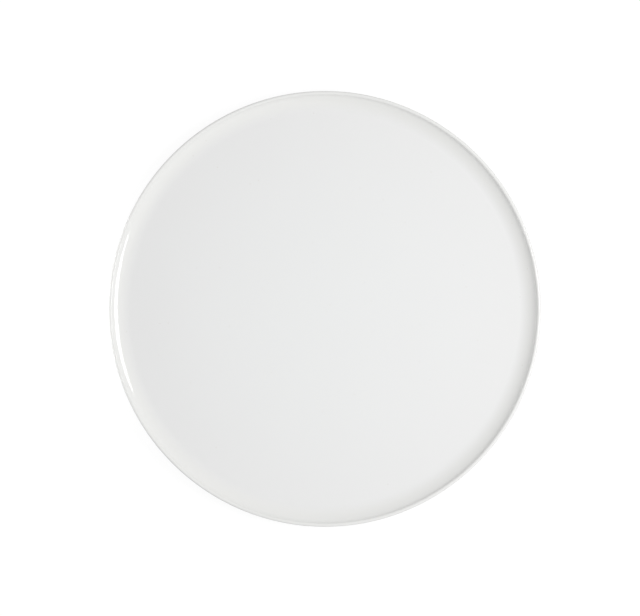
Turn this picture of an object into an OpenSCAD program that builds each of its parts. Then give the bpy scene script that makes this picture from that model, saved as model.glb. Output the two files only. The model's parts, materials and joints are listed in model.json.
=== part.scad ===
// Round charger plate in glazed porcelain. One fired body holds the flat well, the low upturned rim
// and two foot rings. Three films of glaze cover it, all but the standing faces of the rings.
// Millimetres, +Z up. The origin is the centre of the circle that the plate stands on.
// Every piece is turned about Z from an outline of [radius, height] points.

/* [Plate] */
// Diameter over the glazed lip
plate_d = 320; // [300:1:340]
// Thickness of the fired body under the well
well_t = 5.5; // [5:0.1:6.5]

/* [Rim] */
// Radius of the wide hollow curve that lifts the well into the rim
rim_curve_r = 20; // [16:0.5:24]
// Slope that the rim reaches on the wide curve, in degrees
rim_bend = 34; // [28:1:38]
// Radius of the tighter hollow curve that turns the rim up to the lip
upturn_r = 5; // [4:0.5:6]
// Slope of the rim where it runs into the lip, in degrees
rim_slope = 65; // [58:1:70]
// Thickness of the fired lip, whose edge is fully rounded
lip_t = 2.2; // [2:0.1:2.8]
// Radius of the outside curve that runs from the underside up to the lip
flank_curve_r = 20; // [18:1:22]

/* [Foot rings] */
// Diameter of the outer ring, which the plate stands on, at the middle of its face
foot_d = 206; // [180:1:210]
// Diameter of the inner ring, which keeps the well from sagging in the kiln
inner_foot_d = 100; // [80:1:130]
// Height of the fired underside above the table
foot_h = 4; // [3.6:0.1:5]
// Width of a ring at its standing face
foot_face_w = 3.4; // [2.8:0.1:4.4]
// Lean of a ring's sides from upright, in degrees
foot_lean = 18; // [10:1:26]
// Radius of the hollow at the root of a ring
foot_root_r = 1.6; // [0.8:0.1:1.6]
// Radius ground on the edges of a standing face
foot_edge_r = 0.5; // [0.2:0.1:0.6]
// Gap between the inner ring and the table
inner_foot_gap = 0.4; // [0.2:0.1:0.6]

/* [Glaze] */
// Thickness of a glaze film
glaze_t = 0.3; // [0.2:0.05:0.4]
// Height of the band wiped bare above a standing face
bare_h = 1; // [0.7:0.1:1]

/* [Hidden] */

// Straight steps in a full turn, and how far a chord may stand off its arc
turn_steps = 180;
arc_tolerance = 0.005;
// Points closer than this are one point
same_point = 0.0001;

lip_r = lip_t / 2;
well_z = foot_h + well_t;

// The rim's two curves and the lip's circle touch in turn, so their centres lie along the slopes there
lip_centre_r = plate_d / 2 - glaze_t - lip_r;
rim_to_upturn = (rim_curve_r - upturn_r) * down_slope(rim_bend);
upturn_to_lip = (upturn_r + lip_r) * down_slope(rim_slope);
rim_centre_r = lip_centre_r - rim_to_upturn[0] - upturn_to_lip[0];
rim_centre = [rim_centre_r, well_z + rim_curve_r];
upturn_centre = rim_centre + rim_to_upturn;
lip_centre = upturn_centre + upturn_to_lip;

// The outside curve leaves the level underside and ends where it touches the lip's circle
flank_centre_z = foot_h + flank_curve_r;
flank_drop = flank_centre_z - lip_centre[1];
flank_reach = sqrt(pow(flank_curve_r - lip_r, 2) - pow(flank_drop, 2));
flank_centre = [lip_centre_r - flank_reach, flank_centre_z];
flank_end = -atan2(flank_drop, flank_reach);

porcelain_white = [0.92, 0.90, 0.86];
glaze_white = [0.93, 0.94, 0.94];

// Unit step from the centre of a hollow curve to its surface, where that surface has this slope
function down_slope(slope) = [sin(slope), -cos(slope)];

// Points along an arc between two angles, measured from the outward direction towards +Z
function arc(centre, r, from, to) =
    let (widest = 2 * acos(1 - arc_tolerance / r))
    let (steps = ceil(abs(to - from) / widest))
    [for (i = [0 : steps])
        let (a = from + (to - from) * i / steps)
        centre + r * [cos(a), sin(a)]];

function reversed(points) = [for (i = [len(points) - 1 : -1 : 0]) points[i]];

function without_repeats(points) =
    [for (i = [0 : len(points) - 1])
        if (i == 0 || norm(points[i] - points[i - 1]) > same_point) points[i]];

// From the middle of the well over the lip to the level underside, moved out by lift
function upper_line(lift) = concat(
    [[0, well_z + lift]],
    arc(rim_centre, rim_curve_r - lift, -90, rim_bend - 90),
    arc(upturn_centre, upturn_r - lift, rim_bend - 90, rim_slope - 90),
    arc(lip_centre, lip_r + lift, rim_slope + 90, flank_end),
    arc(flank_centre, flank_curve_r + lift, flank_end, -90)
);

// A ring's side is drawn upwards as [distance from the ring's middle, height]
function side_at(face_z, z) = [foot_face_w / 2 + (z - face_z) * tan(foot_lean), z];

function ground_edge(face_z) =
    let (inset = foot_edge_r * (1 - sin(foot_lean)) / cos(foot_lean))
    arc([foot_face_w / 2 - inset, face_z + foot_edge_r], foot_edge_r, -90, -foot_lean);

function root_hollow(face_z, lift) =
    let (z = foot_h - foot_root_r)
    let (out = foot_root_r / cos(foot_lean))
    arc(side_at(face_z, z) + [out, 0], foot_root_r - lift, 180 - foot_lean, 90);

// The rounded end of a film, from where it meets the ring's side to its full thickness
function film_end(face_z) =
    let (z = face_z + bare_h + glaze_t * cos(foot_lean))
    arc(side_at(face_z, z), glaze_t, -90 - foot_lean, -foot_lean);

function fired_side(face_z) = concat(ground_edge(face_z), root_hollow(face_z, 0));
function film_skin(face_z) = concat(film_end(face_z), root_hollow(face_z, glaze_t));
function film_bed(face_z) = concat([film_end(face_z)[0]], root_hollow(face_z, 0));

// Puts a side on a ring, facing outwards with facing 1 or towards the axis with facing -1
function on_ring(ring_d, facing, side) = [for (p = side) [ring_d / 2 + facing * p[0], p[1]]];

module turned(outline) {
    rotate_extrude($fn = turn_steps)
        polygon(without_repeats(outline));
}

// The fired porcelain: well, rim, lip and both foot rings in one
module porcelain_body() {
    color(porcelain_white)
        turned(concat(
            upper_line(0),
            reversed(on_ring(foot_d, 1, fired_side(0))),
            on_ring(foot_d, -1, fired_side(0)),
            reversed(on_ring(inner_foot_d, 1, fired_side(inner_foot_gap))),
            on_ring(inner_foot_d, -1, fired_side(inner_foot_gap)),
            [[0, foot_h]]
        ));
}

// The film over the well, the rim, the lip and the outside, down to the outer ring
module face_glaze() {
    color(glaze_white)
        turned(concat(
            upper_line(glaze_t),
            reversed(on_ring(foot_d, 1, film_skin(0))),
            on_ring(foot_d, 1, film_bed(0)),
            reversed(upper_line(0))
        ));
}

// The film on the underside between the two rings
module channel_glaze() {
    color(glaze_white)
        turned(concat(
            on_ring(foot_d, -1, film_skin(0)),
            reversed(on_ring(inner_foot_d, 1, film_skin(inner_foot_gap))),
            on_ring(inner_foot_d, 1, film_bed(inner_foot_gap)),
            reversed(on_ring(foot_d, -1, film_bed(0)))
        ));
}

// The film on the underside inside the inner ring
module centre_glaze() {
    color(glaze_white)
        turned(concat(
            on_ring(inner_foot_d, -1, film_skin(inner_foot_gap)),
            [[0, foot_h - glaze_t], [0, foot_h]],
            reversed(on_ring(inner_foot_d, -1, film_bed(inner_foot_gap)))
        ));
}

porcelain_body();
face_glaze();
channel_glaze();
centre_glaze();
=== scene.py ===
import json
import math

import bpy
import numpy as np
from mathutils import Matrix, Vector


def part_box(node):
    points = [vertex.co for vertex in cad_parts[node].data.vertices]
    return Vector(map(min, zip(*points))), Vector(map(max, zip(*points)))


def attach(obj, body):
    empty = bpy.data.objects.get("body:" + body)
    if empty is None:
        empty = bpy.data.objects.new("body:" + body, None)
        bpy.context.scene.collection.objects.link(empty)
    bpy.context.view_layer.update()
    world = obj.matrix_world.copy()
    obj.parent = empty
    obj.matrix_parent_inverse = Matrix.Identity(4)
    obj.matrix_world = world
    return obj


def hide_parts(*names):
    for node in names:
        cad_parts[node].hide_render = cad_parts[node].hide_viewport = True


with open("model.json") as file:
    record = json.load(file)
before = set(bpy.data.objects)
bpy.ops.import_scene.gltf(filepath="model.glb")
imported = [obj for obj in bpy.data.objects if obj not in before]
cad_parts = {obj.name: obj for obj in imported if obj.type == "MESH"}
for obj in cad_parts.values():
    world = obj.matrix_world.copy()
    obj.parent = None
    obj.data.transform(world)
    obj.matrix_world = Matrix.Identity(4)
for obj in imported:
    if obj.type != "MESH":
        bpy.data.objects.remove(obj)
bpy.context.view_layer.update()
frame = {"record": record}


# Fired body
# Hard white porcelain, pressed in a mould in one piece: the well, the rim, the lip and two foot rings.
# It shows only where the rings stand, because they are wiped clean of glaze and ground smooth after firing.

MM = 0.001
mount_at = {mount["name"]: mount["pos_m"] for mount in frame["record"]["mounts"]}
glaze_t = 0.3 * MM
plate_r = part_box("face_glaze")[1].x
well_z = mount_at["well"][2] - glaze_t
underside_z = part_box("centre_glaze")[1].z

# The rim, with its slopes in degrees
rim_curve_r = 20 * MM
rim_bend = 34
upturn_r = 5 * MM
rim_slope = 65
lip_r = 1.1 * MM
flank_curve_r = 20 * MM

# The foot rings, with the lean of their sides in degrees and, for the sums, in radians
foot_r = mount_at["foot_ring"][0]
inner_foot_r = 50 * MM
inner_foot_gap = 0.4 * MM
foot_face_w = 3.4 * MM
foot_lean = 18
lean = math.radians(foot_lean)
foot_root_r = 1.6 * MM
foot_edge_r = 0.5 * MM


def down_slope(degrees):
    """Unit step (sin, -cos) in the section plane, from a hollow's centre to where it has this slope."""
    slope = math.radians(degrees)
    return np.array([math.sin(slope), -math.cos(slope)])


def arc(centre, radius, start, stop, steps):
    """Points on an arc: centre + radius * (cos a, sin a), for angles a evenly spaced from start to stop."""
    angle = np.radians(np.linspace(start, stop, steps))
    return np.column_stack([centre[0] + radius * np.cos(angle), centre[1] + radius * np.sin(angle)])


# The rim's two curves, the lip's circle and the flank touch in turn, so each centre follows from the last
lip_centre_r = plate_r - glaze_t - lip_r
rim_to_upturn = (rim_curve_r - upturn_r) * down_slope(rim_bend)
upturn_to_lip = (upturn_r + lip_r) * down_slope(rim_slope)
rim_centre = np.array([lip_centre_r - rim_to_upturn[0] - upturn_to_lip[0], well_z + rim_curve_r])
upturn_centre = rim_centre + rim_to_upturn
lip_centre = upturn_centre + upturn_to_lip
flank_drop = underside_z + flank_curve_r - lip_centre[1]
flank_reach = math.sqrt((flank_curve_r - lip_r) ** 2 - flank_drop ** 2)
flank_centre = np.array([lip_centre_r - flank_reach, underside_z + flank_curve_r])
flank_end = -math.degrees(math.atan2(flank_drop, flank_reach))


def level(radius_from, radius_to, z, steps):
    """Points on a level run of the section, evenly spaced between two radii at one height."""
    return np.column_stack([np.linspace(radius_from, radius_to, steps), np.full(steps, z)])


def face_line(lift):
    """Section of the face and the outside, moved out of the fired body by lift: level from the axis to the
    rim, then four arcs that touch in turn: the wide hollow, the tight upturn, the round lip and the flank."""
    return np.concatenate([
        level(0, rim_centre[0], well_z + lift, 16),
        arc(rim_centre, rim_curve_r - lift, -90, rim_bend - 90, 32),
        arc(upturn_centre, upturn_r - lift, rim_bend - 90, rim_slope - 90, 20),
        arc(lip_centre, lip_r + lift, rim_slope + 90, flank_end, 40),
        arc(flank_centre, flank_curve_r + lift, flank_end, -90, 28),
    ])


def ring_side_at(face_z, z):
    """A ring's leaning side as (distance from its middle, height): it widens by tan(lean) with height."""
    return np.array([foot_face_w / 2 + (z - face_z) * math.tan(lean), z])


def root_hollow(face_z, lift):
    """Hollow arc from a ring's side up to the underside: a circle that touches both, drawn lift smaller."""
    centre = ring_side_at(face_z, underside_z - foot_root_r) + [foot_root_r / math.cos(lean), 0]
    return arc(centre, foot_root_r - lift, 180 - foot_lean, 90, 12)


def fired_side(face_z):
    """A ring's bare side: the small round ground on its standing face's edge, then up to the root hollow."""
    inset = foot_edge_r * (1 - math.sin(lean)) / math.cos(lean)
    edge_centre = (foot_face_w / 2 - inset, face_z + foot_edge_r)
    return np.concatenate([arc(edge_centre, foot_edge_r, -90, -foot_lean, 8), root_hollow(face_z, 0)])


def on_ring(ring_r, facing, side):
    """Puts a side on a ring: radius = ring's radius + facing * distance, where facing is 1 out or -1 in."""
    return np.column_stack([ring_r + facing * side[:, 0], side[:, 1]])


def turned(name, section, turns=288):
    """A closed solid turned about Z from a section of (radius r, height z) points: (r cos t, r sin t, z) for
    t round a full turn. A section from axis to axis closes in two poles, and any other closes on itself."""
    same_point, on_axis = 1e-7, 1e-9
    apart = np.linalg.norm(section - np.roll(section, 1, axis=0), axis=1) > same_point
    section = section[apart]
    poles = section[section[:, 0] < on_axis]
    rings = section[section[:, 0] >= on_axis]
    t = np.linspace(0, 2 * np.pi, turns, endpoint=False)
    across = rings[:, 0, None] * np.cos(t)
    along = rings[:, 0, None] * np.sin(t)
    height = np.repeat(rings[:, 1, None], turns, axis=1)
    points = np.stack([across, along, height], axis=-1).reshape(-1, 3)
    here = np.arange(len(points)).reshape(len(rings), turns)
    beside = np.roll(here, -1, axis=1)
    below, below_beside = np.roll(here, -1, axis=0), np.roll(beside, -1, axis=0)
    bands = len(rings) - 1 if len(poles) else len(rings)
    faces = np.stack([here, below, below_beside, beside], axis=-1)[:bands].reshape(-1, 4).tolist()
    if len(poles):
        top, bottom = np.full(turns, len(points)), np.full(turns, len(points) + 1)
        faces += np.stack([top, here[0], beside[0]], axis=-1).tolist()
        faces += np.stack([bottom, beside[-1], here[-1]], axis=-1).tolist()
        points = np.concatenate([points, np.column_stack([np.zeros((2, 2)), poles[:, 1]])])
    mesh = bpy.data.meshes.new(name)
    mesh.from_pydata(points.tolist(), [], faces)
    mesh.shade_smooth()
    sharp_edge = math.radians(35)
    mesh.set_sharp_from_angle(angle=sharp_edge)
    piece = bpy.data.objects.new(name, mesh)
    bpy.context.scene.collection.objects.link(piece)
    return piece


class Wire:
    """A socket in a material's nodes. Arithmetic on it adds Math nodes, and node() adds any other kind."""

    def __init__(self, tree, socket=None):
        self.tree, self.socket = tree, socket

    def node(self, kind, settings=None, sockets=None, out=0):
        """A new node of this kind. Its settings are set first, then its sockets take values or wires."""
        made = self.tree.nodes.new(kind)
        for name, value in (settings or {}).items():
            setattr(made, name, value)
        for key, value in (sockets or {}).items():
            if isinstance(value, Wire):
                self.tree.links.new(value.socket, made.inputs[key])
            else:
                made.inputs[key].default_value = value
        return Wire(self.tree, made.outputs[out]) if made.outputs else None

    def math(self, operation, *values):
        return self.node("ShaderNodeMath", {"operation": operation}, dict(enumerate(values)))

    def __add__(self, other):
        return self.math("ADD", self, other)

    def __sub__(self, other):
        return self.math("SUBTRACT", self, other)

    def __rsub__(self, other):
        return self.math("SUBTRACT", other, self)

    def __mul__(self, other):
        return self.math("MULTIPLY", self, other)

    def __pow__(self, other):
        return self.math("POWER", self, other)

    __radd__ = __add__
    __rmul__ = __mul__

    def ease(self, low, high):
        """Smooth step of this value: 0 below low, 1 above high."""
        settings = {"interpolation_type": "SMOOTHSTEP"}
        return self.node("ShaderNodeMapRange", settings, {"Value": self, "From Min": low, "From Max": high})

    def mix(self, first, second):
        """A colour between two, by this value."""
        return self.node("ShaderNodeMix", {"data_type": "RGBA"}, {0: self, 6: first, 7: second}, out=2)


def new_finish(name):
    """An empty material, and a wire to start its nodes from."""
    made = bpy.data.materials.new(name)
    made.use_nodes = True
    made.node_tree.nodes.clear()
    return made, Wire(made.node_tree)


def close_finish(start, shader):
    """Joins a shader to the material's output."""
    start.node("ShaderNodeOutputMaterial", sockets={"Surface": shader})


def on_piece(start):
    """A point's place on the piece as a vector, and its distance from the plate's axis."""
    place = start.node("ShaderNodeTexCoord", out="Object")
    x, y = (start.node("ShaderNodeSeparateXYZ", sockets={0: place}, out=axis) for axis in "XY")
    return place, (x * x + y * y) ** 0.5


def noise(place, scale, detail, roughness=0.5):
    """Soft noise over the piece, with about scale lumps to a metre and detail layers of finer ones."""
    sockets = {"Vector": place, "Scale": scale, "Detail": detail, "Roughness": roughness}
    return place.node("ShaderNodeTexNoise", sockets=sockets)


ground_pale = (0.79, 0.765, 0.715, 1)
ground_grey = (0.70, 0.675, 0.625, 1)
grit_depth = 0.03 * MM
bare_porcelain, start = new_finish("bare_porcelain")
place, r = on_piece(start)
grit = noise(place, scale=2600, detail=3, roughness=0.6)
clouding = noise(place, scale=60, detail=2)
wheel_marks = start.node(
    "ShaderNodeTexNoise", {"noise_dimensions": "1D"}, {"W": r, "Scale": 5200, "Detail": 2})
pale = (grit * 0.5 + clouding * 0.3 + wheel_marks * 0.2).ease(0.3, 0.7)
relief = grit * 0.6 + wheel_marks * 0.4
close_finish(start, start.node("ShaderNodeBsdfPrincipled", sockets={
    "Base Color": pale.mix(ground_grey, ground_pale),
    "Roughness": 0.5 + grit * 0.3,
    "Normal": start.node("ShaderNodeBump", sockets={"Height": relief, "Distance": grit_depth}),
}))

porcelain_body = turned("porcelain_body_fired", np.concatenate([
    face_line(0),
    on_ring(foot_r, 1, fired_side(0))[::-1],
    on_ring(foot_r, -1, fired_side(0)),
    on_ring(inner_foot_r, 1, fired_side(inner_foot_gap))[::-1],
    on_ring(inner_foot_r, -1, fired_side(inner_foot_gap)),
    [[0, underside_z]],
]))
porcelain_body.data.materials.append(bare_porcelain)
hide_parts("porcelain_body")
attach(porcelain_body, "root")


# Face glaze
# One film of glossy glaze, dipped on and fired to the body, which looks white with the porcelain behind it.
# It covers the well, the rim, the lip and the outside, and ends in a rounded bead on the outer ring, a
# millimetre above the table.

bare_h = 1 * MM


def film_end(face_z):
    """The bead that ends a film: a quarter circle as wide as the film, out from the ring's side."""
    centre = ring_side_at(face_z, face_z + bare_h + glaze_t * math.cos(lean))
    return arc(centre, glaze_t, -90 - foot_lean, -foot_lean, 10)


def film_skin(face_z):
    """The outer side of a film on a ring: its bead, then the root hollow drawn smaller by the film."""
    return np.concatenate([film_end(face_z), root_hollow(face_z, glaze_t)])


def film_bed(face_z):
    """The fired surface under a film on a ring, from the tip of the bead to the top of the root hollow."""
    return np.concatenate([film_end(face_z)[:1], root_hollow(face_z, 0)])


# The film's colour is painted lighter and cooler in the middle of the well, greyer towards its edge, and
# darker
# and a little warm on the steep rim: painted light and shade, for light that falls off outward from the
# middle
painted_lit_well_white = (0.882, 0.891, 0.888, 1)
painted_shaded_well_white = (0.861, 0.862, 0.860, 1)
painted_shaded_rim_white = (0.857, 0.858, 0.843, 1)
ripple_depth = 0.008 * MM
white_glaze, start = new_finish("white_glaze")
place, r = on_piece(start)
clouding = noise(place, scale=22, detail=3, roughness=0.45)
ripple = noise(place, scale=75, detail=1)
peel = noise(place, scale=330, detail=1)
# Painted shade: the white darkens from the middle of the well outward (random clouding mixed in), and is
# darker and warm on the rim
painted_falloff_and_clouding = (r * (1 / upturn_centre[0])) ** 2 + (clouding - 0.5) * 0.4
painted_rim_shade = r.ease(rim_centre[0], upturn_centre[0])
film_white_with_painted_shade = painted_rim_shade.mix(painted_falloff_and_clouding.mix(painted_lit_well_white, painted_shaded_well_white), painted_shaded_rim_white)

# Pinholes, where a loose pattern of points in space happens to have one close to the surface
pinhole_grey = (0.66, 0.63, 0.58, 1)
pin_apart = 9 * MM
pin_core, pin_edge = 0.18 * MM, 0.34 * MM
pin_points = {"Vector": place, "Scale": 1 / pin_apart}
pin_away = start.node("ShaderNodeTexVoronoi", sockets=pin_points, out="Distance")
pinhole = 1 - pin_away.ease(pin_core / pin_apart, pin_edge / pin_apart)

relief = ripple * 0.7 + peel * 0.3 - pinhole * 2
close_finish(start, start.node("ShaderNodeBsdfPrincipled", sockets={
    "Base Color": pinhole.mix(film_white_with_painted_shade, pinhole_grey),
    "Roughness": 0.06 + clouding * 0.04 + pinhole * 0.3,
    "IOR": 1.5,
    "Normal": start.node("ShaderNodeBump", sockets={"Height": relief, "Distance": ripple_depth}),
}))

face_glaze = turned("face_glaze_film", np.concatenate([
    face_line(glaze_t),
    on_ring(foot_r, 1, film_skin(0))[::-1],
    on_ring(foot_r, 1, film_bed(0)),
    face_line(0)[::-1],
]))
face_glaze.data.materials.append(white_glaze)
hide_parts("face_glaze")
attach(face_glaze, "root")


# Channel glaze
# The same glaze in the channel between the two rings on the underside. Wiping the rings parts it from the
# film on the outside, so it is a ring of its own with a bead along each edge.

channel_glaze = turned("channel_glaze_film", np.concatenate([
    on_ring(inner_foot_r, 1, film_bed(inner_foot_gap)),
    on_ring(foot_r, -1, film_bed(0))[::-1],
    on_ring(foot_r, -1, film_skin(0)),
    on_ring(inner_foot_r, 1, film_skin(inner_foot_gap))[::-1],
]))
channel_glaze.data.materials.append(white_glaze)
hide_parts("channel_glaze")
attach(channel_glaze, "root")


# Centre glaze
# The same glaze on the round of underside within the inner ring. It too was dipped and fired with the rest,
# and ends in a bead where the ring was wiped.

centre_glaze = turned("centre_glaze_film", np.concatenate([
    [[0, underside_z]],
    on_ring(inner_foot_r, -1, film_bed(inner_foot_gap))[::-1],
    on_ring(inner_foot_r, -1, film_skin(inner_foot_gap)),
    [[0, underside_z - glaze_t]],
]))
centre_glaze.data.materials.append(white_glaze)
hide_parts("centre_glaze")
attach(centre_glaze, "root")


# Floor
# A wide sheet of matt white paper under the plate. It is seen as white, with what is left of the plate's
# shadow, and gives back less light than that to the plate's edge.

floor_half = 12
paper_grey = (0.36, 0.36, 0.36, 1)
shadow_grey = (0.2, 0.2, 0.2, 1)
paper_glow = 0.87


def seen_or_mirrored(start):
    """1 for rays from the camera, in a mirror or through glass, and 0 for rays that only carry light."""
    rays = ("Is Camera Ray", "Is Glossy Ray", "Is Transmission Ray")
    seen, mirrored, through = (start.node("ShaderNodeLightPath", out=ray) for ray in rays)
    total = seen + mirrored + through
    return total.math("MINIMUM", total, 1)


white_paper, start = new_finish("white_paper")
paper = start.node("ShaderNodeBsdfDiffuse", sockets={"Color": paper_grey})
shadow = start.node("ShaderNodeBsdfDiffuse", sockets={"Color": shadow_grey})
glow = start.node("ShaderNodeEmission", sockets={"Strength": paper_glow})
shown = start.node("ShaderNodeAddShader", sockets={0: glow, 1: shadow})
in_view = seen_or_mirrored(start)
close_finish(start, start.node("ShaderNodeMixShader", sockets={0: in_view, 1: paper, 2: shown}))

floor_mesh = bpy.data.meshes.new("white_paper_floor")
u, v = np.meshgrid([-floor_half, floor_half], [-floor_half, floor_half])
floor_mesh.from_pydata(np.stack([u, v, 0 * u], axis=-1).reshape(-1, 3).tolist(), [], [(0, 1, 3, 2)])
floor_mesh.materials.append(white_paper)
floor = bpy.data.objects.new("white_paper_floor", floor_mesh)
bpy.context.scene.collection.objects.link(floor)


# Studio light
# A white room gives even light from all round. An oval soft box off the right of the plate, rolled a little,
# puts the highlight in the far side of the rim. A large weak panel lifts the lower side, and a low strip
# close by on the left, out of sight, keeps the lip there from going dark.

room_light = 0.59
white = (1, 1, 1, 1)
world = bpy.data.worlds.new("white_room")
bpy.context.scene.world = world
world.use_nodes = True
world.node_tree.nodes.clear()
start = Wire(world.node_tree)
lit = start.node("ShaderNodeBackground", sockets={"Color": white, "Strength": room_light})
shown = start.node("ShaderNodeBackground", sockets={"Color": white, "Strength": 1})
room = start.node("ShaderNodeMixShader", sockets={0: seen_or_mirrored(start), 1: lit, 2: shown})
start.node("ShaderNodeOutputWorld", sockets={"Surface": room})


def soft_panel(name, azimuth, elevation, distance, width, height, radiance, roll=0, shape="RECTANGLE"):
    """A glowing panel that faces the plate from this direction. Its power is radiance * pi * its area."""
    lamp = bpy.data.lights.new(name, "AREA")
    lamp.shape = shape
    lamp.size, lamp.size_y = width, height
    area = width * height * (math.pi / 4 if shape == "ELLIPSE" else 1)
    lamp.energy = radiance * math.pi * area
    panel = bpy.data.objects.new(name, lamp)
    a, e = math.radians(azimuth), math.radians(elevation)
    back = Vector((math.cos(e) * math.cos(a), math.cos(e) * math.sin(a), math.sin(e)))
    side = Vector((0, 0, 1)).cross(back).normalized()
    turn = Matrix((side, back.cross(side), back)).transposed() @ Matrix.Rotation(math.radians(roll), 3, "Z")
    panel.matrix_world = Matrix.Translation(back * distance) @ turn.to_4x4()
    bpy.context.scene.collection.objects.link(panel)
    return panel


soft_panel("soft_box", azimuth=0.5, elevation=44, distance=1.5,
           width=1.06, height=0.42, radiance=9.3, roll=10, shape="ELLIPSE")
soft_panel("fill_panel", azimuth=-60, elevation=45, distance=2, width=2, height=2, radiance=0.24)
lip_strip = soft_panel("lip_strip", azimuth=178, elevation=5.2, distance=0.22,
                       width=0.18, height=0.012, radiance=8)
lip_strip.visible_camera = False


# Camera
# It looks down on the plate from nearly overhead, leaning a little to the right, with the plate's edge where
# the photograph has it.

photo_w, photo_h = 640, 616
seen_centre = (324.8, 308.9)
seen_half_h = 217.9
camera_lean = math.radians(7.2)
camera_away = 1.6
camera = bpy.data.objects.new("camera", bpy.data.cameras.new("camera"))
bpy.context.scene.collection.objects.link(camera)
bpy.context.scene.camera = camera
back = Vector((math.sin(camera_lean), 0, math.cos(camera_lean)))
up = Vector((0, 1, 0))
right = up.cross(back)
eye = Vector((0, 0, lip_centre[1] + lip_r + glaze_t)) + back * camera_away
camera.matrix_world = Matrix.Translation(eye) @ Matrix((right, up, back)).transposed().to_4x4()

# The lip's outermost circle, projected, sets the focal length in pixels and the shift of the frame
t = np.linspace(0, 2 * np.pi, 720)
lip_edge = np.column_stack([plate_r * np.cos(t), plate_r * np.sin(t), np.full(t.size, lip_centre[1])])
from_eye = lip_edge - np.array(eye)
depth = -from_eye @ np.array(back)
across, upward = from_eye @ np.array(right) / depth, from_eye @ np.array(up) / depth
middle_across, middle_upward = (across.max() + across.min()) / 2, (upward.max() + upward.min()) / 2
focal_px = 2 * seen_half_h / np.ptp(upward)
camera.data.sensor_fit = "HORIZONTAL"
camera.data.lens = focal_px / photo_w * camera.data.sensor_width
camera.data.shift_x = (focal_px * middle_across - (seen_centre[0] - photo_w / 2)) / photo_w
camera.data.shift_y = (focal_px * middle_upward - (photo_h / 2 - seen_centre[1])) / photo_w
bpy.context.scene.view_settings.view_transform = "Standard"


# Last step
# The view layer is brought up to date.

bpy.context.view_layer.update()
